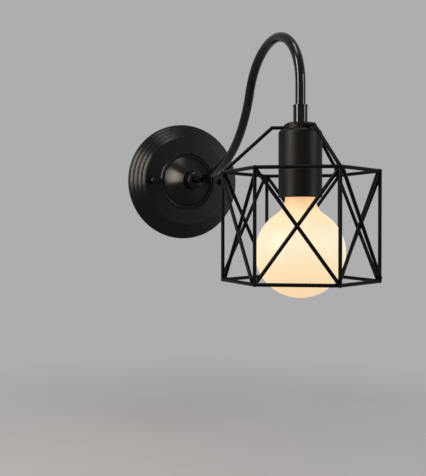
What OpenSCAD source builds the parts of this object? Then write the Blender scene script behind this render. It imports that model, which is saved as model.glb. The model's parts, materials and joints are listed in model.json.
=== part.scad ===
// Cage wall light: a stepped wall plate, a gooseneck tube and a hexagonal wire cage round a globe bulb.
// Millimetres. The wall is the plane Y = 0 and the light stands out along -Y, with +Z up.
// The origin is the middle of the wall plate, on the wall.

/* [Wall plate] */
// Outer radius of the wall plate at the wall
plate_r = 70.5; // [66:0.5:80]
// Radius of the flat ring inside the steps
flat_r = 50.5; // [49:0.5:54]
// Height of the flat ring above the wall
flat_h = 18; // [17:0.5:22]
// Number of rolled steps in the rim
steps = 5; // [3:1:7]
// Sheet thickness of the wall plate
sheet_t = 1; // [0.8:0.1:1.5]
// Radius of the hub where its flank starts
hub_r = 30.5; // [27:0.5:32]
// Radius of the hub's nose
nose_r = 12.5; // [11:0.5:14]
// Height of the hub's nose above the wall
nose_h = 36; // [35:0.5:42]
// Hollow of the hub's flank: 0 is a straight cone and 1 a quarter of an ellipse
hub_hollow = 0.15; // [0:0.05:1]
// Radius of the bead round the hub
bead_r = 1.6; // [1:0.1:1.8]

/* [Bracket and screws] */
// Distance between the two plate studs
stud_gap = 90; // [88:0.5:92]
// Thickness of the bracket's steel
bracket_t = 1.8; // [1.5:0.1:2.2]
// Radius of the bracket's round middle
bracket_r = 30; // [29:0.5:32]
// Width of the bracket's two ends
bracket_w = 16; // [14:0.5:20]
// How far the bracket's ends stand off the wall, to clear the stud heads
bracket_step = 4; // [3.6:0.1:4.6]
// Distance between the two wall screw slots
wall_screw_gap = 40; // [36:0.5:44]
// Diameter of a wall screw slot
wall_screw_d = 4.5; // [4:0.1:5]
// End to end length of a wall screw slot
wall_slot_len = 10; // [7:0.5:12]
// Thread diameter of the studs
stud_d = 4; // [3.5:0.1:4.5]
// Diameter of the ball on a cap nut
ball_d = 8; // [7:0.1:9]

/* [Arm] */
// Outside diameter of the arm tube
tube_d = 9; // [8.6:0.1:10]
// Wall thickness of the arm tube
tube_wall = 1; // [0.8:0.05:1.1]
// Distance from the wall to the tube's rear end
tube_rear = 25; // [24:0.25:26]
// Distance from the wall to the first bend
bend_start = 50; // [49:0.5:56]
// Radius of the long first bend
lift_r = 300; // [280:5:330]
// Angle turned by the first bend
lift_turn = 15; // [14:0.5:17]
// Radius of the second bend, up into the loop
rise_r = 113.5; // [105:0.5:125]
// Angle turned by the second bend
rise_turn = 54.4; // [50:0.1:58]
// Radius of the loop's rear half
loop_rear_r = 63.5; // [58:0.5:70]
// Radius of the loop's front half
loop_front_r = 49.8; // [45:0.1:56]
// Straight length at the front end of the tube
drop_len = 27.6; // [22:0.1:36]

/* [Lamp head] */
// Outside diameter of the sleeve on the tube's front end
sleeve_d = 12.6; // [12.2:0.1:15]
// Height of the sleeve
sleeve_h = 16; // [14:0.5:20]
// Depth of the tube's seat in the sleeve
sleeve_seat = 8; // [6:0.5:9]
// Outside diameter of the hollow threaded rod
rod_d = 10; // [9.6:0.1:10.4]
// Bore of the hollow threaded rod
rod_bore = 7; // [6.2:0.1:7.4]
// Outside diameter of the socket cover
cover_d = 38.5; // [38:0.5:44]
// Height of the socket cover
cover_h = 60; // [59:0.5:66]
// Sheet thickness of the socket cover
cover_t = 1; // [0.8:0.1:1.2]
// Radius of the socket cover's shoulder
shoulder_r = 4; // [3:0.25:6]

/* [Cage] */
// Distance from the lamp's axis to the middle of a corner post
cage_r = 69; // [62:0.5:78]
// Height of the cage between the middles of its two rings
cage_h = 96; // [84:0.5:104]
// Drop from the cage's hub to the middle of its top ring
cage_drop = 38.7; // [30:0.1:44]
// Diameter of the cage wire
wire_d = 3.2; // [2.6:0.1:3.8]
// Diameter of the cage's hub
hub_d = 28.8; // [26:0.2:32]
// Thickness of the cage's hub
hub_t = 3; // [2.6:0.1:3.6]
// Distance from the lamp's axis to the bend in a roof wire
roof_bend = 25; // [24:0.1:36]

/* [Lampholder] */
// Outside diameter of the ceramic body
holder_d = 35; // [34.6:0.1:35.6]
// Height of the ceramic body
holder_h = 34; // [33:0.5:36]
// How far the ceramic body sits above the cover's mouth
holder_lift = 1.5; // [1:0.1:3]
// Bore of the threaded shell
shell_d = 26.4; // [26.3:0.05:27]
// Height of the threaded shell
shell_h = 21; // [19:0.5:22]
// Sheet thickness of the threaded shell
shell_t = 0.5; // [0.4:0.05:0.6]

/* [Bulb] */
// Diameter of the globe
globe_d = 80; // [70:0.5:92]
// Distance from the cover's top to the middle of the globe
globe_drop = 108.6; // [106:0.1:116]
// Radius of the sweep from the neck to the globe
neck_sweep = 18; // [12:0.5:20]
// Outside diameter of the neck
neck_d = 26.4; // [26:0.1:27]
// Thickness of the glass
glass_t = 1; // [0.8:0.1:1.3]
// Pitch of the cap's thread
cap_pitch = 3.629; // [3.4:0.001:3.8]

/* [Wiring] */
// Diameter of one insulated core
core_d = 2.2; // [1.8:0.1:2.4]
// Distance of each core from the middle of the tube
core_ring = 1.45; // [1.4:0.05:1.5]
// Width of the terminal block
block_w = 26; // [25:0.5:28]
// Height of the terminal block
block_h = 18; // [16:0.5:19]
// Depth of the terminal block
block_d = 12; // [11:0.5:13]

/* [Hidden] */
$fn = 64;

fit = 0.05;        // clearance of a piece that seats on or turns in another
loose = 0.25;      // clearance of a screw or wire in its hole
arc_n = 6;         // points in a small rounded corner
curve_n = 14;      // points in a long curve
bend_swell = 1.06; // how much wider the ball at a sharp bend is than its wire
over = 1;          // how far a cutting shape runs past what it cuts

// Wall plate
step_w = (plate_r - flat_r) / steps;
step_h = flat_h / steps;
step_round = min(step_w, step_h) / 2;
bead_gap = 1.3;
bead_mid = hub_r + bead_gap + bead_r;
flank_slope = atan2(nose_h - flat_h, hub_r - nose_r);
flank_in = mix(tan(flank_slope / 2), 1, hub_hollow);
tube_bore = tube_d - 2 * tube_wall;

// Wall side hardware
stud_len = 18.5;
stud_head_d = 7.2;
stud_head_h = 2.6;
stud_nut_af = 7;
stud_nut_h = 3;
cap_washer_d = 10.4;
cap_washer_t = 0.8;
cap_base_h = 3;
cap_base_in = 0.3;
cap_bore_past = 1.5;
cable_hole_d = 12;
tab_past = 7;
tab_inner = 10;
tab_end = stud_gap / 2 + tab_past;
tab_start = stud_gap / 2 - tab_inner;
ring_d = 22.8;
ring_h = 2.5;
collar_d = 21.6;
collar_round = 5;
collar_h = bend_start - nose_h - ring_h;
grub_d = 3;
grub_len = 5;
washer_d = 17;
washer_t = 1.2;
lock_washer_d = 14.6;
lock_washer_t = 1;
lock_nut_af = 14;
lock_nut_h = 4;
bush_flange_d = 10.4;
bush_flange_t = 1;
bush_len = 4;
bush_bore = 5.6;

// Terminal block
block_top_z = -9;
block_z = block_top_z - block_h / 2;
pole_gap = 8;
pole_back = 1;
pole_y = bracket_t + block_d / 2 - pole_back;
pole_d = 4;
pole_bore = 2.9;
pole_short = 1;
clamp_d = 2.6;
clamp_z = block_h / 4;
clamp_sink = 2;
clamp_low = 1;
clamp_slot_w = 0.6;
clamp_slot_h = 1;
block_screw_d = 3;
block_screw_head_d = 5;
head_low = 0.2;
block_screw_z = block_z;
block_screw_x = pole_gap / 2;
bracket_earth_z = 19;
wall_gap = 0.2;

// Arm stations: [distance from the wall, height, heading]
arm_0 = [tube_rear, 0, 0];
arm_1 = after_line(arm_0, bend_start - tube_rear);
arm_2 = after_arc(arm_1, lift_r, lift_turn);
arm_3 = after_arc(arm_2, rise_r, rise_turn);
arm_4 = after_arc(arm_3, loop_rear_r, -lift_turn - rise_turn);
arm_5 = after_arc(arm_4, loop_front_r, -90);
arm_6 = after_line(arm_5, drop_len);
lamp_y = -arm_6[0];
tube_end_z = arm_6[1];

// Lamp head, measured down from the top of the socket cover
clamp_washer_t = 2.4;
clamp_washer_top = 24;
sleeve_rim = 0.35;
sleeve_rim_h = 1.2;
sleeve_shelf = 1;
cover_top_z = tube_end_z + sleeve_seat - sleeve_h - clamp_washer_t - hub_t - 3 * fit;
sleeve_base = hub_t + clamp_washer_t + 2 * fit;
lip_t = 1.2;
lip_round = 0.8;
rod_len_below = 12.5;
nut_af = 14;
nut_h = 3.5;
star_t = 0.8;
star_d = 15;
star_root_r = 6.3;
star_n = 6;
bridge_t = 1.2;
bridge_w = 11;
bridge_reach = 12;
bridge_foot = 5;
bridge_screw_out = 2.6;
bridge_screw_y = bridge_reach + bridge_screw_out;
bridge_top = -cover_t - star_t - nut_h;
holder_base = -cover_h + holder_lift;
holder_top = holder_base + holder_h;
bridge_screw_d = 3;
bridge_screw_len = 5.5;
bridge_screw_head_d = 4.6;
bridge_screw_head_h = 1.8;
floor_t = 4.5;
mouth_d = 29.6;
mouth_h = 3;
shell_base = holder_base + mouth_h;
shell_top = shell_base + shell_h;
shell_od = shell_d + 2 * shell_t;
terminal_x = 9;
terminal_w = 6;
terminal_t = 0.8;
rivet_d = 2.4;
tongue_w = 6;
tongue_t = 0.5;
tongue_gap = 0.2;
contact_screw_d = 2.6;
contact_head_d = 4.6;
contact_head_h = 1.6;
contact_sink = 3;
plate_reach = 7.6;
terminal_y = 4.4;
strip_in = 2;
slot_drop = 4;
core_beside = terminal_x - contact_screw_d / 2 - core_d / 2 - fit;
bridge_earth_drop = 9.5;
earth_past = 1;
bridge_earth_z = bridge_top - bridge_t - bridge_earth_drop;

// Wiring
core_low = -core_ring / 2;
core_side = core_ring * cos(30);
core_exit = 3;
earth_beside = 0.12;
earth_end = 3;
core_lead = 4;
core_past = 3;
core_clear = 1;
core_turn_z = cover_top_z - rod_len_below - core_clear;
core_bend_d = core_d * bend_swell;
core_lug_z = cover_top_z + holder_top + terminal_t + core_bend_d / 2 + fit;
core_lug_start = terminal_y - contact_head_d / 2 - core_bend_d / 2 - fit;

// Bulb, measured down from the top of the socket cover
globe_r = globe_d / 2;
neck_r = neck_d / 2;
cap_d = shell_d - 2 * fit;
cap_t = 0.4;
thread_depth = 0.5;
thread_n = 8; // points in one turn of the cap's thread
cap_start = 1;
cap_short = 1.2;
cap_base = shell_base - cap_start;
cap_top = shell_top - cap_short;
tip_r = 4.6;
tip_h = 1.4;
insulator_h = 3.2;
insulator_rim = 1;
insulator_in = 0.6;
tip_top = cap_top + insulator_h + tip_h;
glass_seat_d = cap_d - 2 * cap_t - 2 * thread_depth - 2 * fit;
glass_seat_h = 6;
sweep_mid_z = -globe_drop + sqrt(pow(globe_r + neck_sweep, 2) - pow(neck_r + neck_sweep, 2));
stem_r = 3;
stem_flare_r = 10.5;
stem_flare_h = 9;
board_drop = 3;
stem_len = 50;
stem_drop = 2;
stem_seat_t = 1.2;
stem_seat_gap = 0.3;
stem_lap = 0.1;
filament_n = 4;
filament_d = 2;
filament_len = 36;
filament_r = 13;
filament_tip_r = 9;
filament_drop = 14;
support_d = 0.8;
support_rise = 3;
board_r = cap_d / 2 - cap_t - thread_depth - fit;
board_t = 1.6;
part_h = 7;
part_w = 6;

// Cage
wire_r = wire_d / 2;
wire_shift = wire_r + fit / 2;
roof_stop = 1.45; // from a roof wire's end to the middle of the ring's corner, in wire radii
face_n = 6;
first_corner = -90;
ring_top_z = hub_t / 2 - cage_drop;
ring_base_z = ring_top_z - cage_h;
face_turn = 360 / face_n;
face_half = cage_r * sin(face_turn / 2);
face_mid = cage_r * cos(face_turn / 2);
lattice_len = sqrt(pow(2 * face_half, 2) + pow(cage_h, 2));
lattice_lean = atan2(2 * face_half, cage_h);

steel_black = [0.06, 0.06, 0.065];
zinc = [0.62, 0.64, 0.66];
brass = [0.78, 0.62, 0.32];
ceramic = [0.93, 0.92, 0.88];
opal = [1, 0.95, 0.84];

// Geometry of the arm's path
function after_line(p, len) = [p[0] + len * cos(p[2]), p[1] + len * sin(p[2]), p[2]];
function after_arc(p, r, turn) = let (side = sign(turn), a = p[2] + turn)
    [p[0] + side * r * (sin(a) - sin(p[2])), p[1] + side * r * (cos(p[2]) - cos(a)), a];

// Points of an arc in an outline
function arc_pts(mid, r, from, to, n) =
    [for (i = [0:n]) let (a = from + (to - from) * i / n) [mid[0] + r * cos(a), mid[1] + r * sin(a)]];
// The value at a share of the way from one to another
function mix(from, to, share) = from + (to - from) * share;
// Points of the hub's flank, from its foot to the nose
function flank_pts(shift) =
    [for (i = [0:curve_n]) let (t = i / curve_n, a = 90 * t)
        [hub_r - (hub_r - nose_r) * mix(t, sin(a), hub_hollow) - shift * flank_in,
            flat_h + (nose_h - flat_h) * mix(t, 1 - cos(a), hub_hollow) - shift]];
// Points of the rim's rolled steps, from the wall up to the flat ring
function rim_pts(shift) =
    [for (i = [0:steps - 1], j = [0:arc_n]) let (a = 90 * j / arc_n)
        [plate_r - step_w * i - step_round * (1 - cos(a)) - shift,
            step_h * (i + 1) - step_round * (1 - sin(a)) - shift]];

module from_wall() { rotate([90, 0, 0]) children(); }
module in_arm_plane() { rotate([90, 0, -90]) children(); }
module at_head() { translate([0, lamp_y, cover_top_z]) children(); }
module both_sides() { for (side = [-1, 1]) translate([side * stud_gap / 2, 0, 0]) children(); }

// A rod with a hexagonal outline
module hex(across_flats, h) { cylinder(d = across_flats / cos(30), h = h, $fn = 6); }

// A flat ring
module ring(outer_d, inner_d, h) {
    difference() {
        cylinder(d = outer_d, h = h);
        translate([0, 0, -over]) cylinder(d = inner_d, h = h + 2 * over);
    }
}

// A slotted screw with its head on the plane Z = 0 and its shank below
module slotted_screw(d, len, head_d, head_h) {
    slot_w = head_d / 6;
    difference() {
        union() {
            translate([0, 0, -len]) cylinder(d = d, h = len + head_h / 2);
            cylinder(d = head_d, h = head_h);
        }
        translate([-head_d, -slot_w / 2, head_h / 2]) cube([2 * head_d, slot_w, head_h]);
    }
}

// A straight round bar between two points, running past both by the length given
module bar(from, to, d, past = 0) {
    v = to - from;
    len = norm(v);
    translate(from) rotate([0, acos(v[2] / len), atan2(v[1], v[0])]) translate([0, 0, -past])
        cylinder(d = d, h = len + 2 * past, $fn = 32);
}

// A bent core: round bars with a slightly larger ball at each bend
module bent_core(points) {
    for (i = [0:len(points) - 2]) {
        bar(points[i], points[i + 1], core_d);
        translate(points[i]) sphere(d = core_bend_d, $fn = 32);
    }
}

// Move by a coarse step and then by what is left, so that neighbouring lengths meet face to face
module at_point(p) {
    coarse = [round(p[0] * 1000) / 1000, round(p[1] * 1000) / 1000, 0];
    translate(coarse) translate([p[0], p[1], 0] - coarse) children();
}

// The run of the arm, as a bar or a tube at an offset up from and beside the middle of the arm
module run_section(d, bore) {
    difference() {
        circle(d = d);
        if (bore > 0) circle(d = bore);
    }
}
module run_line(p, len, up, beside, d, bore) {
    at_point(p) rotate([0, 0, p[2]]) translate([0, up, beside]) rotate([0, 90, 0])
        linear_extrude(len) run_section(d, bore);
}
module run_arc(p, r, turn, up, beside, d, bore) {
    side = sign(turn);
    first = turn > 0 ? p[2] - 90 : p[2] + 90 + turn;
    at_point([p[0] - side * r * sin(p[2]), p[1] + side * r * cos(p[2])]) translate([0, 0, beside])
        rotate_extrude(angle = abs(turn), start = first) translate([r - side * up, 0])
            run_section(d, bore);
}
module arm_run(d, bore = 0, up = 0, beside = 0, past_rear = 0, past_front = 0) {
    in_arm_plane() {
        translate([-past_rear, 0, 0])
            run_line(arm_0, bend_start - tube_rear + past_rear, up, beside, d, bore);
        run_arc(arm_1, lift_r, lift_turn, up, beside, d, bore);
        run_arc(arm_2, rise_r, rise_turn, up, beside, d, bore);
        run_arc(arm_3, loop_rear_r, -lift_turn - rise_turn, up, beside, d, bore);
        run_arc(arm_4, loop_front_r, -90, up, beside, d, bore);
        run_line(arm_5, drop_len + past_front, up, beside, d, bore);
    }
}

// Wall side

module wall_plate() {
    outer = concat([[plate_r, 0]], rim_pts(0), [[flat_r, flat_h]],
        arc_pts([bead_mid, flat_h], bead_r, 0, 180, arc_n), flank_pts(0),
        [[tube_d / 2 + loose, nose_h]]);
    inner_rim = rim_pts(sheet_t);
    inner_flank = flank_pts(sheet_t);
    inner = concat([[plate_r - sheet_t, 0]], inner_rim, [[flat_r, flat_h - sheet_t]], inner_flank,
        [[tube_d / 2 + loose, nose_h - sheet_t]]);
    color(steel_black) from_wall() difference() {
        rotate_extrude() polygon(concat(outer, [for (i = [len(inner) - 1:-1:0]) inner[i]]));
        both_sides() translate([0, 0, flat_h - sheet_t - over])
            cylinder(d = stud_d + 2 * loose, h = sheet_t + 2 * over);
    }
}

module wall_bracket() {
    slot_run = wall_slot_len - wall_screw_d;
    color(zinc) from_wall() difference() {
        union() {
            linear_extrude(bracket_t) {
                circle(r = bracket_r);
                square([2 * (tab_start + bracket_t), bracket_w], center = true);
            }
            for (side = [0, 180]) rotate([0, 0, side]) {
                translate([tab_start, -bracket_w / 2, 0])
                    cube([bracket_t, bracket_w, bracket_step + bracket_t]);
                translate([tab_start, -bracket_w / 2, bracket_step])
                    cube([tab_end - tab_start, bracket_w, bracket_t]);
            }
        }
        translate([0, 0, -over]) linear_extrude(bracket_t + 2 * over) {
            circle(d = cable_hole_d);
            for (side = [-1, 1]) translate([side * wall_screw_gap / 2, 0]) {
                square([slot_run, wall_screw_d], center = true);
                for (end = [-1, 1]) translate([end * slot_run / 2, 0]) circle(d = wall_screw_d);
            }
            translate([block_screw_x, block_screw_z]) circle(d = block_screw_d);
            translate([0, bracket_earth_z]) circle(d = stud_d);
        }
        both_sides() cylinder(d = stud_d + 2 * fit, h = bracket_step + bracket_t + over);
    }
}
module plate_studs() {
    color(zinc) from_wall() both_sides() translate([0, 0, bracket_step - fit]) rotate([180, 0, 0])
        slotted_screw(stud_d, stud_len, stud_head_d, stud_head_h);
}

module stud_nuts() {
    color(zinc) from_wall() both_sides() translate([0, 0, bracket_step + bracket_t]) difference() {
        hex(stud_nut_af, stud_nut_h);
        translate([0, 0, -over]) cylinder(d = stud_d + 2 * fit, h = stud_nut_h + 2 * over);
    }
}

module cap_washers() {
    color(steel_black) from_wall() both_sides() translate([0, 0, flat_h])
        ring(cap_washer_d, stud_d + 2 * loose, cap_washer_t);
}

module cap_nuts() {
    base_d = ball_d - 2 * cap_base_in;
    color(steel_black) from_wall() both_sides() translate([0, 0, flat_h + cap_washer_t]) difference() {
        union() {
            cylinder(d = base_d, h = cap_base_h);
            translate([0, 0, cap_base_h]) sphere(d = ball_d);
        }
        translate([0, 0, -ball_d]) cylinder(d = stud_d + 2 * fit, h = ball_d + cap_base_h + cap_bore_past);
        translate([0, 0, -ball_d]) cylinder(d = 2 * ball_d, h = ball_d);
    }
}

module collar_ring() {
    color(steel_black) from_wall() translate([0, 0, nose_h]) ring(ring_d, tube_d + 2 * fit, ring_h);
}

module arm_collar() {
    bore_r = tube_d / 2 + fit;
    outline = concat([[bore_r, 0], [collar_d / 2, 0]],
        arc_pts([collar_d / 2 - collar_round, collar_h - collar_round], collar_round, 0, 90, arc_n),
        [[bore_r, collar_h]]);
    color(steel_black) from_wall() translate([0, 0, nose_h + ring_h]) difference() {
        rotate_extrude() polygon(outline);
        translate([0, 0, collar_h / 2]) rotate([90, 0, 0]) cylinder(d = grub_d + 2 * fit, h = collar_d);
    }
}

module collar_screw() {
    seat = tube_d / 2 + fit;
    color(zinc) from_wall() translate([0, -seat, nose_h + ring_h + collar_h / 2]) rotate([90, 0, 0])
        difference() {
            cylinder(d = grub_d, h = grub_len);
            translate([0, 0, grub_len - grub_d / 2]) hex(grub_d / 2, grub_d);
        }
}

module arm_washer() {
    color(zinc) from_wall() translate([0, 0, nose_h - sheet_t - washer_t])
        ring(washer_d, tube_d + 2 * fit, washer_t);
}

module arm_lock_washer() {
    gap_w = 1.2;
    color(zinc) from_wall() translate([0, 0, nose_h - sheet_t - washer_t - lock_washer_t]) difference() {
        ring(lock_washer_d, tube_d + 2 * fit, lock_washer_t);
        translate([0, -gap_w / 2, -over]) cube([lock_washer_d, gap_w, lock_washer_t + 2 * over]);
    }
}

module arm_lock_nut() {
    base = nose_h - sheet_t - washer_t - lock_washer_t - lock_nut_h;
    color(zinc) from_wall() translate([0, 0, base]) difference() {
        hex(lock_nut_af, lock_nut_h);
        translate([0, 0, -over]) cylinder(d = tube_d + 2 * fit, h = lock_nut_h + 2 * over);
    }
}

module wire_bush() {
    color([0.9, 0.9, 0.88]) from_wall() difference() {
        union() {
            translate([0, 0, tube_rear - bush_flange_t]) cylinder(d = bush_flange_d, h = bush_flange_t);
            translate([0, 0, tube_rear - bush_flange_t / 2])
                cylinder(d = tube_bore - 2 * fit, h = bush_len + bush_flange_t / 2);
        }
        translate([0, 0, tube_rear - bush_flange_t - over]) cylinder(d = bush_bore, h = bush_len + 3 * over);
    }
}

// Arm

module gooseneck_arm() {
    color(steel_black) arm_run(tube_d, tube_bore);
}

// Wiring at the wall

module block_pole_places() {
    for (i = [-1:1]) translate([i * pole_gap, 0, 0]) children();
}

module terminal_block() {
    color([0.92, 0.92, 0.9]) difference() {
        translate([-block_w / 2, -bracket_t - block_d, block_z - block_h / 2])
            cube([block_w, block_d, block_h]);
        block_pole_places() {
            translate([0, -pole_y, block_z - block_h / 2 - over])
                cylinder(d = pole_d + 2 * fit, h = block_h + 2 * over);
            for (end = [-1, 1]) translate([0, -pole_y, block_z + end * clamp_z]) from_wall()
                cylinder(d = clamp_d + 4 * loose, h = block_d);
        }
        translate([block_screw_x, 0, block_screw_z]) from_wall() {
            cylinder(d = block_screw_d + 2 * loose, h = bracket_t + block_d + over, $fn = 32);
        }
        translate([block_screw_x, 0, block_screw_z]) from_wall()
            translate([0, 0, bracket_t + block_d - clamp_sink])
                cylinder(d = block_screw_head_d + 2 * loose, h = clamp_sink + over);
    }
}

module terminal_tubes() {
    tube_h = block_h - 2 * pole_short;
    color(brass) difference() {
        block_pole_places() translate([0, -pole_y, block_z - tube_h / 2]) cylinder(d = pole_d, h = tube_h);
        block_pole_places() {
            translate([0, -pole_y, block_z - block_h]) cylinder(d = pole_bore, h = 2 * block_h);
            for (end = [-1, 1]) translate([0, -pole_y, block_z + end * clamp_z]) from_wall()
                cylinder(d = clamp_d + 2 * fit, h = block_d);
        }
    }
}

module terminal_clamp_screws() {
    reach = pole_y + core_d / 2 + 2 * fit;
    len = bracket_t + block_d - reach - clamp_low;
    color(zinc) block_pole_places() for (end = [-1, 1])
        translate([0, -reach, block_z + end * clamp_z]) from_wall() difference() {
            cylinder(d = clamp_d, h = len);
            translate([-clamp_d, -clamp_slot_w / 2, len - clamp_slot_h])
                cube([2 * clamp_d, clamp_slot_w, clamp_slot_h + over]);
        }
}

module block_screw() {
    head_y = bracket_t + block_d - clamp_sink;
    color(zinc) translate([block_screw_x, -head_y, block_screw_z]) from_wall()
        slotted_screw(block_screw_d - 2 * fit, head_y, block_screw_head_d, clamp_sink - head_low);
}

module bracket_earth_screw() {
    tag_t = 0.8;
    tag_len = 9;
    tag_rim = 0.5;
    screw_d = stud_d - 2 * fit;
    color(brass) translate([0, -bracket_t, bracket_earth_z]) from_wall() {
        difference() {
            union() {
                cylinder(d = stud_head_d + 2 * tag_rim, h = tag_t);
                translate([-core_d / 2, -tag_len, 0]) cube([core_d, tag_len, tag_t]);
            }
            translate([0, 0, -over]) cylinder(d = screw_d + 2 * fit, h = tag_t + 2 * over);
        }
        translate([0, 0, tag_t])
            slotted_screw(screw_d, bracket_t + tag_t - wall_gap, stud_head_d, stud_head_h);
    }
}

// The three cores. Each lies at its own place in the tube and ends in its terminal at both ends.
module core(up, beside, pole_x, lug_points) {
    arm_run(core_d, up = up, beside = beside, past_rear = core_exit, past_front = tube_end_z - core_turn_z);
    bent_core([[-beside, core_exit - tube_rear, up], [pole_x, -pole_y, block_z + block_h / 2 + core_lead],
        [pole_x, -pole_y, block_z + clamp_z - core_past]]);
    bent_core(concat([[-beside, lamp_y - up, core_turn_z]], lug_points));
}
// The last bend of a core and its end under a terminal screw, on one side of the ceramic body
function terminal_points(side) = [
    [side * core_beside, lamp_y + core_lug_start, core_lug_z],
    [side * core_beside, lamp_y + terminal_y, core_lug_z]];

module live_wire() {
    color([0.45, 0.25, 0.12]) core(core_low, core_side, -pole_gap, terminal_points(-1));
}
module neutral_wire() {
    color([0.12, 0.3, 0.65]) core(core_low, -core_side, pole_gap, terminal_points(1));
}
module earth_wire() {
    color([0.45, 0.62, 0.15]) core(core_ring, earth_beside, 0,
        [[0, lamp_y - bridge_reach + bridge_t + earth_end, cover_top_z + bridge_earth_z]]);
}

// Lamp head

module sleeve() {
    color(steel_black) at_head() translate([0, 0, sleeve_base]) difference() {
        union() {
            cylinder(d = sleeve_d, h = sleeve_h);
            translate([0, 0, sleeve_h - sleeve_rim_h])
                cylinder(d = sleeve_d + 2 * sleeve_rim, h = sleeve_rim_h);
        }
        translate([0, 0, sleeve_h - sleeve_seat]) cylinder(d = tube_d + 2 * fit, h = sleeve_seat + over);
        translate([0, 0, -over]) cylinder(d = rod_bore, h = sleeve_h + over);
        translate([0, 0, -over])
            cylinder(d = rod_d + 2 * fit, h = sleeve_h - sleeve_seat - sleeve_shelf + over);
    }
}

module threaded_rod() {
    top = sleeve_base + sleeve_h - sleeve_seat - sleeve_shelf;
    color(zinc) at_head() translate([0, 0, -rod_len_below]) ring(rod_d, rod_bore, rod_len_below + top);
}

module clamp_washer() {
    edge_h = clamp_washer_t / 3;
    bore_r = rod_d / 2 + fit;
    color(steel_black) at_head() translate([0, 0, hub_t + 2 * fit]) rotate_extrude()
        polygon([[bore_r, 0], [hub_d / 2, 0], [hub_d / 2, edge_h], [clamp_washer_top / 2, clamp_washer_t],
            [bore_r, clamp_washer_t]]);
}

module socket_cover() {
    r = cover_d / 2;
    inner_r = r - cover_t;
    bore_r = rod_d / 2 + fit;
    outline = concat([[bore_r, 0]],
        arc_pts([r - shoulder_r, -shoulder_r], shoulder_r, 90, 0, arc_n),
        arc_pts([r - lip_round, -cover_h + lip_round], lip_round, 0, -90, arc_n),
        [[inner_r - lip_t + lip_round, -cover_h]],
        [[inner_r - lip_t + lip_round, -cover_h + cover_t]],
        [[inner_r, -cover_h + cover_t]],
        arc_pts([r - shoulder_r, -shoulder_r], shoulder_r - cover_t, 0, 90, arc_n),
        [[bore_r, -cover_t]]);
    color(steel_black) at_head() rotate_extrude() polygon(outline);
}

module cover_lock_washer() {
    gap_w = 1.4;
    color(zinc) at_head() translate([0, 0, -cover_t - star_t]) difference() {
        ring(star_d, rod_d + 2 * fit, star_t);
        for (i = [0:star_n - 1]) rotate([0, 0, i * 360 / star_n])
            translate([star_root_r, -gap_w / 2, -over]) cube([star_d, gap_w, star_t + 2 * over]);
    }
}

module cover_nut() {
    color(zinc) at_head() translate([0, 0, bridge_top]) difference() {
        hex(nut_af, nut_h);
        translate([0, 0, -over]) cylinder(d = rod_d + 2 * fit, h = nut_h + 2 * over);
    }
}

// A steel strap under the cover's nut. Its two legs stand on the ceramic body.
module holder_bridge() {
    leg_h = bridge_top - bridge_t - holder_top;
    color(zinc) at_head() difference() {
        union() {
            translate([-bridge_w / 2, -bridge_reach, bridge_top - bridge_t])
                cube([bridge_w, 2 * bridge_reach, bridge_t]);
            for (side = [0, 180]) rotate([0, 0, side]) {
                translate([-bridge_w / 2, bridge_reach - bridge_t, holder_top])
                    cube([bridge_w, bridge_t, leg_h + bridge_t / 2]);
                translate([-bridge_w / 2, bridge_reach - bridge_t, holder_top])
                    cube([bridge_w, bridge_foot + bridge_t, bridge_t]);
            }
        }
        translate([0, 0, bridge_top - bridge_t - over])
            cylinder(d = rod_d + 2 * fit, h = bridge_t + 2 * over);
        for (side = [-1, 1]) translate([0, side * bridge_screw_y, holder_top - over])
            cylinder(d = bridge_screw_d + fit, h = bridge_t + 2 * over, $fn = 32);
        translate([0, -bridge_reach + bridge_t + over, bridge_earth_z]) from_wall()
            cylinder(d = bridge_screw_d, h = bridge_t + 2 * over, $fn = 32);
    }
}

module bridge_nut() {
    h = rod_len_below + bridge_top - bridge_t;
    color(zinc) at_head() translate([0, 0, bridge_top - bridge_t - h]) difference() {
        hex(nut_af, h);
        translate([0, 0, -over]) cylinder(d = rod_d + 2 * fit, h = h + 2 * over);
    }
}

module bridge_screws() {
    color(zinc) at_head() for (side = [-1, 1])
        translate([0, side * bridge_screw_y, holder_top + bridge_t])
            slotted_screw(bridge_screw_d - fit, bridge_screw_len, bridge_screw_head_d, bridge_screw_head_h);
}

module bridge_earth_screw() {
    color(brass) at_head() translate([0, -bridge_reach + bridge_t, bridge_earth_z])
        rotate([-90, 0, 0])
            slotted_screw(bridge_screw_d - 2 * fit, bridge_t + earth_past, bridge_screw_head_d,
                bridge_screw_head_h);
}

module lampholder_body() {
    slot_w = terminal_w + 2 * loose;
    slot_x = shell_od / 2 - strip_in;
    color(ceramic) at_head() difference() {
        translate([0, 0, holder_base]) cylinder(d = holder_d, h = holder_h);
        translate([0, 0, holder_base - over]) cylinder(d = mouth_d, h = mouth_h + over);
        translate([0, 0, holder_base]) cylinder(d = shell_od + 2 * fit, h = holder_h - floor_t);
        for (side = [-1, 1]) translate([0, side * bridge_screw_y, 0])
            translate([0, 0, holder_top - bridge_screw_len]) cylinder(d = bridge_screw_d, h = holder_h);
        translate([-terminal_x, 0, holder_top - floor_t - over])
            cylinder(d = rivet_d + 2 * fit, h = floor_t + 2 * over, $fn = 32);
        for (side = [-1, 1]) translate([side * terminal_x, terminal_y, holder_top - contact_sink])
            cylinder(d = contact_screw_d, h = contact_sink + over, $fn = 32);
        translate([slot_x, -slot_w / 2, shell_top - slot_drop])
            cube([terminal_t + 2 * loose, slot_w, holder_top - shell_top + slot_drop + over]);
    }
}

module threaded_shell() {
    color(brass) at_head() translate([0, 0, shell_base - shell_t]) {
        ring(shell_od, shell_d, shell_t + shell_h);
        ring(mouth_d - 2 * fit, shell_d, shell_t);
    }
}

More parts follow.
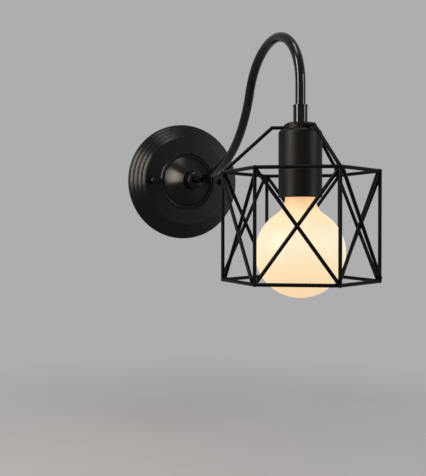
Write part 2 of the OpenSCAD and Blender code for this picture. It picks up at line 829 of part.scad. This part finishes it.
// The tongue under the bulb's tip, riveted through the ceramic floor to its own terminal plate
module centre_contact() {
    tongue_z = tip_top + tongue_gap;
    color(brass) at_head() {
        translate([-terminal_x, 0, tongue_z])
            cylinder(d = rivet_d, h = holder_top - tongue_z + terminal_t / 2, $fn = 32);
        translate([-terminal_x - tongue_w / 4, -tongue_w / 2, tongue_z])
            cube([terminal_x + tongue_w * 3 / 4, tongue_w, tongue_t]);
        difference() {
            translate([-terminal_x - terminal_w / 2, -terminal_w / 2, holder_top])
                cube([terminal_w, terminal_w / 2 + plate_reach, terminal_t]);
            translate([-terminal_x, terminal_y, holder_top - over])
                cylinder(d = contact_screw_d + 2 * fit, h = terminal_t + 2 * over, $fn = 32);
        }
    }
}

// The strip that runs from the threaded shell up through the ceramic to the other terminal plate
module shell_contact() {
    strip_x = shell_od / 2 - strip_in + loose;
    color(brass) at_head() {
        translate([strip_x, -terminal_w / 2, shell_top])
            cube([terminal_t, terminal_w, holder_top - shell_top + terminal_t]);
        difference() {
            translate([terminal_x - terminal_w / 2, -terminal_w / 2, holder_top])
                cube([strip_x + terminal_t - terminal_x + terminal_w / 2, terminal_w / 2 + plate_reach,
                    terminal_t]);
            translate([terminal_x, terminal_y, holder_top - over])
                cylinder(d = contact_screw_d + 2 * fit, h = terminal_t + 2 * over, $fn = 32);
        }
    }
}

module contact_screws() {
    color(zinc) at_head() for (side = [-1, 1])
        translate([side * terminal_x, terminal_y, holder_top + terminal_t + core_bend_d + 2 * fit])
            slotted_screw(contact_screw_d - 2 * fit, terminal_t + core_bend_d + contact_sink - 2 * fit,
                contact_head_d, contact_head_h);
}

// Cage

function corner(i, z) = let (a = first_corner + i * face_turn) [cage_r * cos(a), cage_r * sin(a), z];

// Turn to face number i, with Y outwards through its middle
module on_face(i) { rotate([0, 0, first_corner + (i + 0.5) * face_turn - 90]) children(); }

// Six bars, mitred where they meet at the corners
module hexagon_ring(z) {
    reach = 2 * cage_r;
    for (i = [0:face_n - 1]) on_face(i) intersection() {
        translate([-cage_r, face_mid, z]) rotate([0, 90, 0]) cylinder(d = wire_d, h = 2 * cage_r);
        translate([0, fit, z - wire_d]) linear_extrude(2 * wire_d)
            polygon([[0, 0], [reach * sin(face_turn / 2), reach * cos(face_turn / 2)],
                [-reach * sin(face_turn / 2), reach * cos(face_turn / 2)]]);
    }
}

module cage_hub() {
    color(steel_black) at_head() translate([0, 0, fit]) ring(hub_d, rod_d + 2 * fit, hub_t);
}

module roof_wires() {
    roof_z = wire_r + 2 * fit;
    slope = atan2(roof_z - ring_top_z, cage_r - roof_bend);
    stop = roof_stop * wire_r;
    color(steel_black) at_head() for (i = [0:2:face_n - 1]) rotate([0, 0, first_corner + i * face_turn]) {
        bar([hub_d / 2 + fit, 0, roof_z], [roof_bend, 0, roof_z], wire_d);
        translate([roof_bend, 0, roof_z]) sphere(d = wire_d * bend_swell, $fn = 32);
        bar([roof_bend, 0, roof_z], [cage_r - stop * cos(slope), 0, ring_top_z + stop * sin(slope)], wire_d);
    }
}

module top_ring() { color(steel_black) at_head() hexagon_ring(ring_top_z); }
module bottom_ring() { color(steel_black) at_head() hexagon_ring(ring_base_z); }

module corner_posts() {
    color(steel_black) at_head() for (i = [0:face_n - 1])
        translate(corner(i, ring_base_z + wire_r + fit / 2)) cylinder(d = wire_d, h = cage_h - wire_d - fit);
}

// One diagonal across each face, cut off flat where it meets the rings and the posts
module lattice(lean, shift) {
    inset = wire_r + fit / 2;
    for (i = [0:face_n - 1]) on_face(i) translate([0, face_mid + shift, (ring_top_z + ring_base_z) / 2])
        intersection() {
            rotate([0, lean, 0]) translate([0, 0, -lattice_len / 2]) cylinder(d = wire_d, h = lattice_len);
            translate([inset - face_half, -wire_d, inset - cage_h / 2])
                cube([2 * (face_half - inset), 2 * wire_d, cage_h - 2 * inset]);
        }
}

module outer_lattice() { color(steel_black) at_head() lattice(lattice_lean, wire_shift); }
module inner_lattice() { color(steel_black) at_head() lattice(-lattice_lean, -wire_shift); }

// Bulb

function thread_pts(r, from, to, n) =
    [for (i = [0:n]) let (z = from + (to - from) * i / n)
        [r - thread_depth / 2 * (1 - cos(360 * (z - cap_base) / cap_pitch)), z]];

module bulb_glass() {
    seat_r = glass_seat_d / 2;
    seat_top = cap_base + glass_seat_h;
    inner_sweep = neck_sweep + glass_t;
    sweep_mid = [neck_r + neck_sweep, sweep_mid_z];
    globe_mid = [0, -globe_drop];
    lean = atan2(sweep_mid[1] - globe_mid[1], sweep_mid[0]);
    outer = concat([[seat_r, seat_top], [seat_r, cap_base - fit], [neck_r, cap_base - fit]],
        arc_pts(sweep_mid, neck_sweep, 180, 180 + lean, curve_n),
        arc_pts(globe_mid, globe_r, lean, -90, 2 * curve_n));
    inner = concat(arc_pts(globe_mid, globe_r - glass_t, -90, lean, 2 * curve_n),
        arc_pts(sweep_mid, inner_sweep, 180 + lean, 180, curve_n),
        [[neck_r - glass_t, cap_base - fit - glass_t], [seat_r - glass_t, cap_base - fit],
            [seat_r - glass_t, seat_top]]);
    color(opal) at_head() rotate_extrude() polygon(concat(outer, inner));
}

module bulb_cap() {
    r = cap_d / 2;
    turns = (cap_top - cap_base) / cap_pitch;
    n = round(turns * thread_n);
    outline = concat(thread_pts(r, cap_base, cap_top, n), thread_pts(r - cap_t, cap_top, cap_base, n));
    color(zinc) at_head() rotate_extrude() polygon(outline);
}

module cap_insulator() {
    top_r = tip_r + insulator_rim;
    r = cap_d / 2 - thread_depth - insulator_in;
    color([0.05, 0.04, 0.06]) at_head() translate([0, 0, cap_top + fit])
        cylinder(r1 = r, r2 = top_r, h = insulator_h - 2 * fit);
}

module cap_contact() {
    color(brass) at_head() translate([0, 0, cap_top + insulator_h]) {
        cylinder(r = tip_r, h = tip_h / 2);
        cylinder(r1 = tip_r, r2 = tip_r / 2, h = tip_h);
    }
}

module bulb_stem() {
    base = cap_base - stem_drop;
    flare_h = stem_flare_h;
    seat_r = neck_r - glass_t - stem_seat_gap;
    top_z = cap_base - filament_drop;
    low_z = top_z - filament_len;
    stop = filament_d / 2 + fit;
    color([0.85, 0.9, 0.92]) at_head() {
        translate([0, 0, base - flare_h]) cylinder(r1 = stem_r, r2 = stem_flare_r, h = flare_h);
        translate([0, 0, base]) cylinder(r = seat_r, h = stem_seat_t);
        translate([0, 0, base - stem_lap]) cylinder(r = stem_flare_r, h = stem_lap + stem_seat_t / 2);
        translate([0, 0, base - stem_len]) cylinder(r = stem_r, h = stem_len - stem_flare_h / 2);
        for (i = [0:filament_n - 1]) rotate([0, 0, i * 360 / filament_n]) {
            bar([0, 0, low_z + support_rise], [filament_r - stop, 0, low_z], support_d);
            bar([0, 0, top_z - support_rise], [filament_tip_r - stop, 0, top_z], support_d);
        }
    }
}

module led_filaments() {
    base = cap_base - filament_drop;
    color([0.95, 0.75, 0.25]) at_head() for (i = [0:filament_n - 1])
        rotate([0, 0, i * 360 / filament_n])
            bar([filament_tip_r, 0, base], [filament_r, 0, base - filament_len], filament_d);
}

module driver_board() {
    color([0.1, 0.35, 0.2]) at_head() translate([0, 0, cap_top - board_drop]) {
        cylinder(r = board_r, h = board_t);
        translate([-board_r / 3, 0, -part_h]) cylinder(d = part_w, h = part_h + board_t / 2);
        translate([board_r / 12, -part_w / 2, -part_h / 2]) cube([part_w, part_w, part_h / 2 + board_t / 2]);
    }
}

wall_plate();
wall_bracket();
plate_studs();
stud_nuts();
cap_washers();
cap_nuts();
collar_ring();
arm_collar();
collar_screw();
arm_washer();
arm_lock_washer();
arm_lock_nut();
wire_bush();
gooseneck_arm();
terminal_block();
terminal_tubes();
terminal_clamp_screws();
block_screw();
bracket_earth_screw();
live_wire();
neutral_wire();
earth_wire();
sleeve();
threaded_rod();
clamp_washer();
socket_cover();
cover_lock_washer();
cover_nut();
holder_bridge();
bridge_nut();
bridge_screws();
bridge_earth_screw();
lampholder_body();
threaded_shell();
centre_contact();
shell_contact();
contact_screws();
cage_hub();
roof_wires();
top_ring();
bottom_ring();
corner_posts();
outer_lattice();
inner_lattice();
bulb_glass();
bulb_cap();
cap_insulator();
cap_contact();
bulb_stem();
led_filaments();
driver_board();
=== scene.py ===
import json
import math
import bpy
from mathutils import Matrix, Vector


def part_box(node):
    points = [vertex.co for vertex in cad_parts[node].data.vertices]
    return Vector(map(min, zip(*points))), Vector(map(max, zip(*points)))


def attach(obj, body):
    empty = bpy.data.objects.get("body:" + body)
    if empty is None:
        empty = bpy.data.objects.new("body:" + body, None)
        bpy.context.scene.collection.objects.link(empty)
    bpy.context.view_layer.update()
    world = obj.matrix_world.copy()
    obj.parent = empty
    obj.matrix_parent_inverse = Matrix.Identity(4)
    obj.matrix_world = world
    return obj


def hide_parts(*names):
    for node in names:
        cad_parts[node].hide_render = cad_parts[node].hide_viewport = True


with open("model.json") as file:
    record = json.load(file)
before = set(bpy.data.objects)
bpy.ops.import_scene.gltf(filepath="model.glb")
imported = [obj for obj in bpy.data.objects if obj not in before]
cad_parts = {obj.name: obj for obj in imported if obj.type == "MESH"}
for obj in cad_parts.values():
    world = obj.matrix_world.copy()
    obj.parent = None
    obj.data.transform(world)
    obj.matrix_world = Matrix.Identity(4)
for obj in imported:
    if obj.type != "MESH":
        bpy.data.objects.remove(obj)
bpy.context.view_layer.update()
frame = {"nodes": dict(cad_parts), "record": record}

nodes = frame["nodes"]
print("frame loaded,", len(nodes), "nodes")


# colours, nodes and objects

def fromHex(code):
    channels = [int(code[i:i + 2], 16) / 255 for i in (0, 2, 4)]
    return [c / 12.92 if c <= 0.04045 else ((c + 0.055) / 1.055) ** 2.4 for c in channels] + [1.0]


def addNode(tree, kind, settings=None, inputs=None, links=()):
    node = tree.nodes.new(kind)
    for name, value in (settings or {}).items():
        setattr(node, name, value)
    for name, value in (inputs or {}).items():
        node.inputs[name].default_value = value
    for source, target in links:
        tree.links.new(source, node.inputs[target])
    return node


def newObject(name, data):
    thing = bpy.data.objects.new(name, data)
    bpy.context.scene.collection.objects.link(thing)
    return thing


def startMaterial(name, **shader):
    material = bpy.data.materials.new(name)
    material.use_nodes = True
    tree = material.node_tree
    bsdf = tree.nodes["Principled BSDF"]
    for key, value in shader.items():
        bsdf.inputs[key.replace("_", " ")].default_value = value
    place = addNode(tree, "ShaderNodeTexCoord").outputs["Object"]
    return material, tree, bsdf, place


def setStops(ramp, stops):
    elements = ramp.color_ramp.elements
    while len(elements) < len(stops):
        elements.new(0.5)
    for element, (position, code) in zip(elements, stops):
        element.position = position
        element.color = fromHex(code)


# a fine bump, its grain size and depth in metres, which also gives the pattern that it came from
def grainBump(tree, bsdf, place, size, strength, depth, stretch=None):
    if stretch:
        mapping = addNode(tree, "ShaderNodeMapping", inputs={"Scale": stretch},
                          links=[(place, "Vector")])
        place = mapping.outputs[0]
    noise = addNode(tree, "ShaderNodeTexNoise", inputs={"Scale": 1 / size, "Detail": 3.0},
                    links=[(place, "Vector")])
    bump = addNode(tree, "ShaderNodeBump", inputs={"Strength": strength, "Distance": depth},
                   links=[(noise.outputs["Fac"], "Height")])
    tree.links.new(bump.outputs["Normal"], bsdf.inputs["Normal"])
    return noise.outputs["Fac"]


# the colour drifts between two shades with one pattern, and the roughness with the same or another
def shadeAndGloss(tree, bsdf, shadePattern, dark, light, glossPattern, rough):
    ramp = addNode(tree, "ShaderNodeValToRGB", links=[(shadePattern, "Fac")])
    setStops(ramp, [(0.3, dark), (0.7, light)])
    gloss = addNode(tree, "ShaderNodeMapRange", inputs={"To Min": rough[0], "To Max": rough[1]},
                    links=[(glossPattern, "Value")])
    tree.links.new(ramp.outputs["Color"], bsdf.inputs["Base Color"])
    tree.links.new(gloss.outputs["Result"], bsdf.inputs["Roughness"])


# powder coat, baked on steel: a faint orange peel drawn coarser than it is, and a slow drift of gloss
coatValues = {"peelSize": 0.0024, "peelStrength": 0.015, "peelDepth": 0.00008,
              "patchesPerMetre": 26.0}


def powderCoat(name, dark, light, rough, shine):
    material, tree, bsdf, place = startMaterial(name, IOR=1.5, Specular_IOR_Level=shine)
    grainBump(tree, bsdf, place, coatValues["peelSize"], coatValues["peelStrength"],
              coatValues["peelDepth"])
    drift = addNode(tree, "ShaderNodeTexNoise", links=[(place, "Vector")],
                    inputs={"Scale": coatValues["patchesPerMetre"], "Detail": 2.0}).outputs["Fac"]
    shadeAndGloss(tree, bsdf, drift, dark, light, drift, rough)
    return material


# bare metal: fine drawn lines and patches of dull handling
metalValues = {"lineSize": 0.0009, "lineStrength": 0.1, "lineDepth": 0.0001,
               "patchesPerMetre": 120.0, "drawnAlong": (1, 1, 9), "evenGrain": (1, 1, 1)}


def bareMetal(name, dark, light, rough, stretch=metalValues["drawnAlong"]):
    material, tree, bsdf, place = startMaterial(name, Metallic=1.0)
    lines = grainBump(tree, bsdf, place, metalValues["lineSize"], metalValues["lineStrength"],
                      metalValues["lineDepth"], stretch)
    handling = addNode(tree, "ShaderNodeTexNoise", links=[(place, "Vector")],
                       inputs={"Scale": metalValues["patchesPerMetre"], "Detail": 3.0})
    shadeAndGloss(tree, bsdf, handling.outputs["Fac"], dark, light, lines, rough)
    return material


# moulded or fired stuff: slight mottling and a soft surface
mouldedDepth = 0.0001


def mouldedStuff(name, dark, light, rough, size, strength, **shader):
    material, tree, bsdf, place = startMaterial(name, IOR=1.5, **shader)
    mottle = grainBump(tree, bsdf, place, size, strength, mouldedDepth)
    shadeAndGloss(tree, bsdf, mottle, dark, light, mottle, rough)
    return material


# opal glass, lit from inside: palest round the filaments, warmer at the crown and in the hidden neck
opalValues = {"roughness": 0.45, "shine": 0.2, "strength": 0.93,
              "unlit": "383028",    # dark, because most of what shows is the bulb's own light
              "glow": [(0.0, "fed6a8"), (0.3, "ffe8be"), (0.52, "fff1d0"), (0.78, "ffe7b8"),
                       (1.0, "f6a654")]}


def litOpal(name, lowZ, highZ):
    material, tree, bsdf, place = startMaterial(
        name, IOR=1.5, Roughness=opalValues["roughness"], Specular_IOR_Level=opalValues["shine"],
        Emission_Strength=opalValues["strength"])
    bsdf.inputs["Base Color"].default_value = fromHex(opalValues["unlit"])
    height = addNode(tree, "ShaderNodeSeparateXYZ", links=[(place, "Vector")]).outputs["Z"]
    share = addNode(tree, "ShaderNodeMapRange", inputs={"From Min": lowZ, "From Max": highZ},
                    links=[(height, "Value")]).outputs["Result"]
    ramp = addNode(tree, "ShaderNodeValToRGB", links=[(share, "Fac")])
    setStops(ramp, opalValues["glow"])
    tree.links.new(ramp.outputs["Color"], bsdf.inputs["Emission Color"])
    return material


plateCoat = powderCoat("glossPowderCoat", "030303", "060606", (0.26, 0.3), 0.16)    # clear bands
armCoat = powderCoat("glossTubeCoat", "020202", "050505", (0.14, 0.17), 0.28)       # a crisp stripe
dullCoat = powderCoat("satinPowderCoat", "030303", "070707", (0.44, 0.5), 0.12)     # broad bands
wireCoat = powderCoat("dippedWireCoat", "020202", "050505", (0.36, 0.44), 0.06)
zincPlate = bareMetal("zincPlatedSteel", "9a9ea3", "c3c6ca", (0.25, 0.4))
rolledBrass = bareMetal("rolledBrass", "a8863f", "cfae66", (0.22, 0.38))
nickelCap = bareMetal("nickelPlatedCap", "aeb0b2", "d4d5d6", (0.18, 0.3),
                      metalValues["evenGrain"])
glazedCeramic = mouldedStuff("glazedCeramic", "dedacf", "efece4", (0.12, 0.24), 0.004, 0.05)
blockPlastic = mouldedStuff("mouldedPolyamide", "d6d6d0", "e4e4de", (0.45, 0.6), 0.001, 0.15)
blackGlass = mouldedStuff("capVitrite", "0b0910", "17131d", (0.08, 0.18), 0.003, 0.04)
boardLaminate = mouldedStuff("boardLaminate", "1b4a2c", "245c38", (0.35, 0.5), 0.0008, 0.15)
phosphor = mouldedStuff("filamentPhosphor", "d9a83c", "ecc15a", (0.5, 0.65), 0.0006, 0.2)
liveCore = mouldedStuff("brownCoreSleeve", "5a3519", "6b4223", (0.42, 0.55), 0.002, 0.06)
neutralCore = mouldedStuff("blueCoreSleeve", "1f4a94", "2a5cad", (0.42, 0.55), 0.002, 0.06)
earthCore = mouldedStuff("greenCoreSleeve", "5f8c1e", "79a82a", (0.42, 0.55), 0.002, 0.06)
clearStem = mouldedStuff("clearStemGlass", "e4ecec", "f2f6f6", (0.03, 0.08), 0.004, 0.03,
                         Transmission_Weight=1.0)
glassLow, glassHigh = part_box("bulb_glass")
opalGlass = litOpal("litOpalGlass", glassLow[2], glassHigh[2])

slotMaterials = {"black_paint": plateCoat, "black_wire": wireCoat, "zinc_steel": zincPlate,
                 "brass": rolledBrass, "ceramic": glazedCeramic, "block_plastic": blockPlastic,
                 "live_core": liveCore, "neutral_core": neutralCore, "earth_core": earthCore,
                 "opal_glass": opalGlass, "clear_glass": clearStem, "cap_metal": nickelCap,
                 "black_glass": blackGlass, "phosphor": phosphor, "board": boardLaminate}
pieceMaterials = {"socket_cover": dullCoat, "clamp_washer": dullCoat, "cage_hub": dullCoat,
                  "gooseneck_arm": armCoat, "sleeve": armCoat}
for part in frame["record"]["subparts"]:
    name = part["node"]
    material = pieceMaterials.get(name, slotMaterials[part["material_slot"]])
    nodes[name].data.materials.clear()
    nodes[name].data.materials.append(material)
print("materials set")


# Geometry Nodes: the start and the end that each tree shares, and the plain mesh that it leaves

def startTree(name, sizeNames):
    tree = bpy.data.node_groups.new(name, "GeometryNodeTree")
    tree.interface.new_socket("Geometry", in_out="INPUT", socket_type="NodeSocketGeometry")
    ids = {}
    for size in sizeNames:
        socket = tree.interface.new_socket(size, in_out="INPUT", socket_type="NodeSocketFloat")
        ids[size] = socket.identifier
    tree.interface.new_socket("Geometry", in_out="OUTPUT", socket_type="NodeSocketGeometry")
    return tree, ids, addNode(tree, "NodeGroupInput").outputs


def endTree(tree, geometry, material):
    real = addNode(tree, "GeometryNodeRealizeInstances", links=[(geometry, "Geometry")])
    smooth = addNode(tree, "GeometryNodeSetShadeSmooth", links=[(real.outputs[0], "Geometry")])
    finished = addNode(tree, "GeometryNodeSetMaterial", inputs={"Material": material},
                       links=[(smooth.outputs[0], "Geometry")])
    addNode(tree, "NodeGroupOutput", links=[(finished.outputs[0], "Geometry")])


def makePlain(name, startMesh, tree, ids, sizes):
    carrier = newObject(name + "Carrier", startMesh)
    modifier = carrier.modifiers.new(name, "NODES")
    modifier.node_group = tree
    for size, value in sizes.items():
        modifier[ids[size]] = value
    bpy.context.view_layer.update()
    ready = carrier.evaluated_get(bpy.context.evaluated_depsgraph_get())
    piece = newObject(name, bpy.data.meshes.new_from_object(ready))
    bpy.data.objects.remove(carrier)
    return piece


# weld beads on the cage, one at each corner of both rings
weldValues = {"cornerRadius": 0.069, "beadRadius": 0.00188, "corners": 6, "firstCorner": -90,
              "roundness": 3}


def centreOf(node):
    low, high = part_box(node)
    return (Vector(low) + Vector(high)) / 2


def weldPlaces():
    radius = weldValues["cornerRadius"]
    lampY = centreOf("cage_hub")[1]
    for z in (centreOf("top_ring")[2], centreOf("bottom_ring")[2]):
        for i in range(weldValues["corners"]):
            turn = math.radians(weldValues["firstCorner"] + 360 / weldValues["corners"] * i)
            yield radius * math.cos(turn), lampY + radius * math.sin(turn), z


def makeWelds():
    tree, ids, start = startTree("weldBeads", ["Bead radius"])
    ball = addNode(tree, "GeometryNodeMeshIcoSphere",
                   inputs={"Subdivisions": weldValues["roundness"]},
                   links=[(start["Bead radius"], "Radius")])
    spread = addNode(tree, "GeometryNodeInstanceOnPoints",
                     links=[(start["Geometry"], "Points"), (ball.outputs["Mesh"], "Instance")])
    endTree(tree, spread.outputs["Instances"], wireCoat)
    points = bpy.data.meshes.new("weldPoints")
    points.from_pydata(list(weldPlaces()), [], [])
    return makePlain("corner_welds", points, tree, ids, {"Bead radius": weldValues["beadRadius"]})


welds = makeWelds()
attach(welds, "cage")
print("weld beads made")


# thread on the bulb's cap: a right hand ridge rolled into thin plated sheet, turned in at the top
threadValues = {"pitch": 0.003629, "depth": 0.0005, "sheet": 0.0004, "shoulder": 0.0012,
                "turnIn": 0.0009, "rows": 64, "columns": 96, "mergeWithin": 0.000002}


def threadTree():
    tree, ids, start = startTree("capThread", ["Radius", "Height", "Pitch", "Depth", "Sheet",
                                               "Shoulder", "Turn in"])
    rows = threadValues["rows"]
    # the grid runs once round the cap, and up the outside and down the inside of the sheet
    grid = addNode(tree, "GeometryNodeMeshGrid",
                   inputs={"Size X": math.tau, "Size Y": 2.0 * rows,
                           "Vertices X": threadValues["columns"] + 1, "Vertices Y": 2 * rows + 1})
    position = addNode(tree, "GeometryNodeInputPosition")
    flat = addNode(tree, "ShaderNodeSeparateXYZ", links=[(position.outputs[0], "Vector")]).outputs

    # each line gives a name, an operation, and what it works on: a number, a size or a name above
    steps = [
        ("shifted", "ADD", "gridY", rows),
        ("whole", "ROUND", "shifted"),
        ("row", "FLOORED_MODULO", "whole", 2 * rows),
        ("inside", "GREATER_THAN", "row", rows - 0.5),
        ("pastTop", "SUBTRACT", "row", rows - 0.5),
        ("belowTop", "ABSOLUTE", "pastTop"),
        ("up", "SUBTRACT", rows - 0.5, "belowTop"),
        ("share", "DIVIDE", "up", rows - 1),
        ("z", "MULTIPLY", "share", "Height"),
        ("turnsUp", "DIVIDE", "z", "Pitch"),
        ("climb", "MULTIPLY", "turnsUp", math.tau),
        ("phase", "SUBTRACT", "climb", "turn"),
        ("wave", "COSINE", "phase"),
        ("dip", "SUBTRACT", 1, "wave"),
        ("halfDip", "MULTIPLY", "dip", 0.5),
        ("groove", "MULTIPLY", "halfDip", "Depth"),
        ("shoulderFoot", "SUBTRACT", "Height", "Shoulder"),
        ("pastFoot", "SUBTRACT", "z", "shoulderFoot"),
        ("along", "DIVIDE", "pastFoot", "Shoulder"),
        ("notBelow", "MAXIMUM", "along", 0),
        ("held", "MINIMUM", "notBelow", 1),
        ("heldSquared", "MULTIPLY", "held", "held"),
        ("remaining", "SUBTRACT", 1, "heldSquared"),
        ("arc", "SQRT", "remaining"),
        ("inward", "SUBTRACT", 1, "arc"),
        ("bend", "MULTIPLY", "inward", "Turn in"),
        ("grooved", "SUBTRACT", "Radius", "groove"),
        ("bent", "SUBTRACT", "grooved", "bend"),
        ("skin", "MULTIPLY", "inside", "Sheet"),
        ("reach", "SUBTRACT", "bent", "skin"),
        ("cosTurn", "COSINE", "turn"),
        ("sinTurn", "SINE", "turn"),
        ("x", "MULTIPLY", "reach", "cosTurn"),
        ("y", "MULTIPLY", "reach", "sinTurn"),
    ]
    sockets = {"turn": flat["X"], "gridY": flat["Y"]}
    sockets.update({size: start[size] for size in ids})
    for result, operation, *values in steps:
        numbers = {i: v for i, v in enumerate(values) if not isinstance(v, str)}
        names = [(sockets[v], i) for i, v in enumerate(values) if isinstance(v, str)]
        node = addNode(tree, "ShaderNodeMath", {"operation": operation}, numbers, names)
        sockets[result] = node.outputs[0]

    place = addNode(tree, "ShaderNodeCombineXYZ",
                    links=[(sockets[axis], axis.upper()) for axis in "xyz"])
    rolled = addNode(tree, "GeometryNodeSetPosition",
                     links=[(grid.outputs["Mesh"], "Geometry"), (place.outputs[0], "Position")])
    closed = addNode(tree, "GeometryNodeMergeByDistance", links=[(rolled.outputs[0], "Geometry")],
                     inputs={"Distance": threadValues["mergeWithin"]})
    endTree(tree, closed.outputs[0], nickelCap)
    return tree, ids


def makeThread():
    low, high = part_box("bulb_cap")
    tree, ids = threadTree()
    sizes = {"Radius": (high[0] - low[0]) / 2, "Height": high[2] - low[2],
             "Pitch": threadValues["pitch"], "Depth": threadValues["depth"],
             "Sheet": threadValues["sheet"], "Shoulder": threadValues["shoulder"],
             "Turn in": threadValues["turnIn"]}
    thread = makePlain("cap_thread", bpy.data.meshes.new("threadStart"), tree, ids, sizes)
    foot = ((low[0] + high[0]) / 2, (low[1] + high[1]) / 2, low[2])
    thread.data.transform(Matrix.Translation(foot))
    return thread


thread = makeThread()
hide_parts("bulb_cap")
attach(thread, "bulb")
print("cap thread made,", len(thread.data.polygons), "faces")


# studio: pale floor, soft lamps, and the photograph's camera
studioValues = {"floorZ": -0.32, "floorSize": 60.0, "floorColour": "8e8e8f", "floorRoughness": 0.9,
                "backdrop": "aeaeb0", "fadeStart": 0.15, "fadeEnd": 0.75, "aim": (0.0, -0.2, 0.0)}
lampValues = [
    {"name": "keyLamp", "place": (-1.31, -0.466, 0.5), "width": 0.34, "height": 1.2, "power": 40,
     "tint": "fff1e2"},
    {"name": "fillLamp", "place": (0.87, -1.14, 0.15), "width": 0.3, "height": 0.8, "power": 9,
     "tint": "f3f5ff"},
    {"name": "topLamp", "place": (-0.1, -0.5, 1.2), "width": 0.5, "height": 0.5, "power": 6,
     "tint": "ffffff"},
]
cameraValues = {"place": (-0.32982, -0.943575, -0.055131), "yaw": 21.42, "pitch": -0.85,
                "focalPixels": 800.0, "frameHeight": 476.0, "sensor": 36.0}


def makeFloor():
    half = studioValues["floorSize"] / 2
    z = studioValues["floorZ"]
    corners = [(-half, -half, z), (half, -half, z), (half, half, z), (-half, half, z)]
    mesh = bpy.data.meshes.new("studioFloor")
    mesh.from_pydata(corners, [], [(0, 1, 2, 3)])
    floor = newObject("studioFloor", mesh)
    material, tree, bsdf, place = startMaterial("paleFloorPaper",
                                                Roughness=studioValues["floorRoughness"])
    bsdf.inputs["Base Color"].default_value = fromHex(studioValues["floorColour"])
    distance = addNode(tree, "ShaderNodeVectorMath", {"operation": "LENGTH"}, links=[(place, 0)])
    fade = addNode(tree, "ShaderNodeMapRange", {"interpolation_type": "SMOOTHSTEP"},
                   {"From Min": studioValues["fadeStart"], "From Max": studioValues["fadeEnd"]},
                   [(distance.outputs["Value"], "Value")]).outputs["Result"]
    backdrop = addNode(tree, "ShaderNodeEmission",
                       inputs={"Color": fromHex(studioValues["backdrop"])})
    blend = addNode(tree, "ShaderNodeMixShader",
                    links=[(fade, 0), (bsdf.outputs[0], 1), (backdrop.outputs[0], 2)])
    tree.links.new(blend.outputs[0], tree.nodes["Material Output"].inputs["Surface"])
    mesh.materials.append(material)


def makeLamp(values):
    lamp = bpy.data.lights.new(values["name"], "AREA")
    lamp.shape = "RECTANGLE"
    lamp.size = values["width"]
    lamp.size_y = values["height"]
    lamp.energy = values["power"]
    lamp.color = fromHex(values["tint"])[:3]
    holder = newObject(values["name"], lamp)
    holder.location = values["place"]
    away = Vector(studioValues["aim"]) - Vector(values["place"])
    holder.rotation_euler = away.to_track_quat("-Z", "Y").to_euler()


def makeCamera():
    lens = bpy.data.cameras.new("photoCamera")
    lens.sensor_width = cameraValues["sensor"]
    lens.lens = cameraValues["sensor"] * cameraValues["focalPixels"] / cameraValues["frameHeight"]
    camera = newObject("photoCamera", lens)
    camera.location = cameraValues["place"]
    camera.rotation_euler = (math.radians(90 + cameraValues["pitch"]), 0,
                             -math.radians(cameraValues["yaw"]))
    bpy.context.scene.camera = camera


def makeWorld():
    world = bpy.data.worlds.new("studioWorld")
    world.use_nodes = True
    background = world.node_tree.nodes["Background"]
    background.inputs["Color"].default_value = fromHex(studioValues["backdrop"])
    background.inputs["Strength"].default_value = 1.0
    bpy.context.scene.world = world


makeFloor()
for values in lampValues:
    makeLamp(values)
makeCamera()
makeWorld()
bpy.context.scene.view_settings.view_transform = "Standard"
print("studio set")
